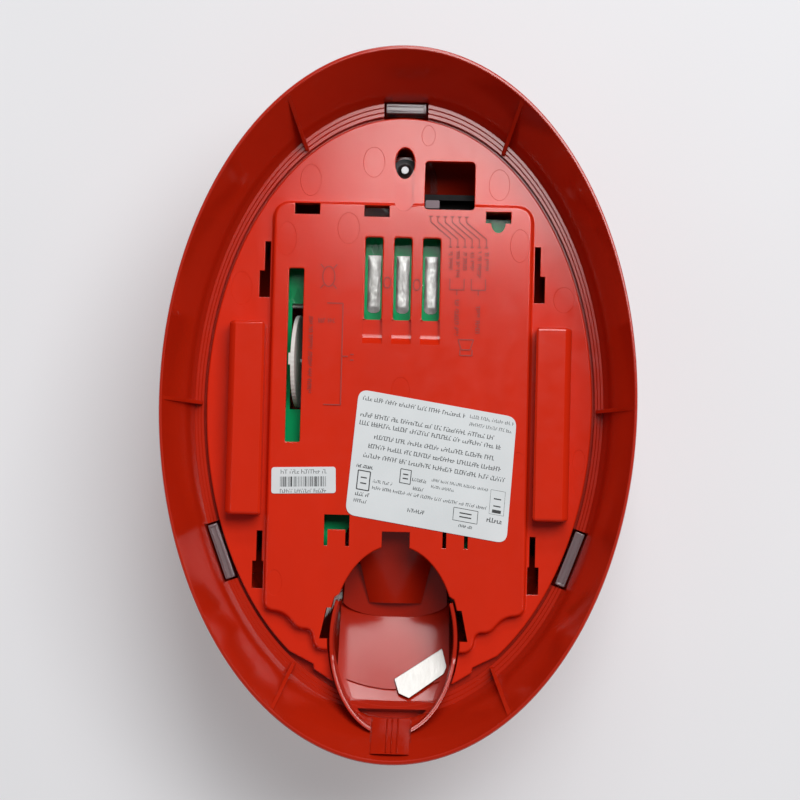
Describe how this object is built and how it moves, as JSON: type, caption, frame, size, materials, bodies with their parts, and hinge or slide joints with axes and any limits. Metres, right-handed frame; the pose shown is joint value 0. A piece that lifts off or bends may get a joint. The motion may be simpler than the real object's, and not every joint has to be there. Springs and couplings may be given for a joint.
{
  "type": "horn strobe",
  "caption": "Red oval ceiling horn strobe with a clear flash lens, horn mouth, candela thumbwheel, tone slide and captive mounting screw, open at the back.",
  "frame": {"origin": "centre of the outline, at the lens's flat front face on which the unit rests face down", "axes": "+Z towards the mounting side, +Y along the long axis away from the horn mouth, +X across"},
  "size_m": [0.115, 0.1732, 0.058],
  "materials": {
    "red_housing": "satin moulded",
    "red_cover": "satin moulded",
    "clear_lens": "clear polycarbonate",
    "foam": "closed-cell foam",
    "chrome": "vacuum-metallised",
    "glass": "clear",
    "steel": "zinc plated",
    "white_lead": "satin",
    "board": "solder mask",
    "tinned": "hot-tinned",
    "capacitor_sleeve": "heat-shrink sleeve",
    "ferrite": "taped",
    "black_plastic": "moulded",
    "copper": "enamelled winding",
    "ceramic": "fired",
    "brass": "rolled",
    "white_plastic": "satin moulded",
    "grey_plastic": "moulded",
    "label": "polyester sticker",
    "aluminium": "brushed"
  },
  "bodies": {
    "housing": {"front_housing": "red_housing", "back_cover": "red_cover", "lens": "clear_lens", "lens_gasket": "foam", "reflector": "chrome", "flash_tube": "glass", "flash_electrode_left": "steel", "flash_electrode_right": "steel", "trigger_lead": "white_lead", "main_board": "board", "contact_pad_1": "tinned", "contact_pad_2": "tinned", "contact_pad_3": "tinned", "board_screw_1": "steel", "board_screw_2": "steel", "board_screw_3": "steel", "board_screw_4": "steel", "flash_capacitor_left": "capacitor_sleeve", "flash_capacitor_right": "capacitor_sleeve", "flyback_transformer": "ferrite", "trigger_coil": "ferrite", "controller_chip": "black_plastic", "bridge_rectifier": "black_plastic", "filter_capacitor": "capacitor_sleeve", "storage_inductor": "copper", "varistor": "ceramic", "horn_throat": "red_housing", "piezo_disc": "brass", "piezo_ceramic": "ceramic", "sounder_ring": "foam", "candela_bracket": "white_plastic", "detent_spring": "steel", "horn_selector_body": "black_plastic", "rating_label": "label", "serial_label": "label", "metal_tag": "aluminium"},
    "thumbwheel": {"candela_wheel": "white_plastic", "candela_axle": "steel"},
    "horn_knob": {"horn_selector_knob": "grey_plastic"},
    "retainer": {"screw_retainer": "steel"},
    "screw": {"mounting_screw": "steel"}
  },
  "joints": [
    {"name": "candela_turn", "type": "hinge", "parent": "housing", "child": "thumbwheel", "pos_m": [-0.0255, 0.0112, 0.029], "axis": [0.9954, 0, 0.0958], "range_deg": [0, 280]},
    {"name": "horn_tone_slide", "type": "slide", "parent": "housing", "child": "horn_knob", "axis": [1, 0, 0], "range_m": [0, 0.00885]},
    {"name": "screw_travel", "type": "slide", "parent": "housing", "child": "retainer", "axis": [0, 0, 1], "range_m": [0, 0.0035]},
    {"name": "screw_turn", "type": "hinge", "parent": "retainer", "child": "screw", "pos_m": [0, 0.0595, 0.0298], "axis": [0, 0, 1], "continuous": true}
  ]
}
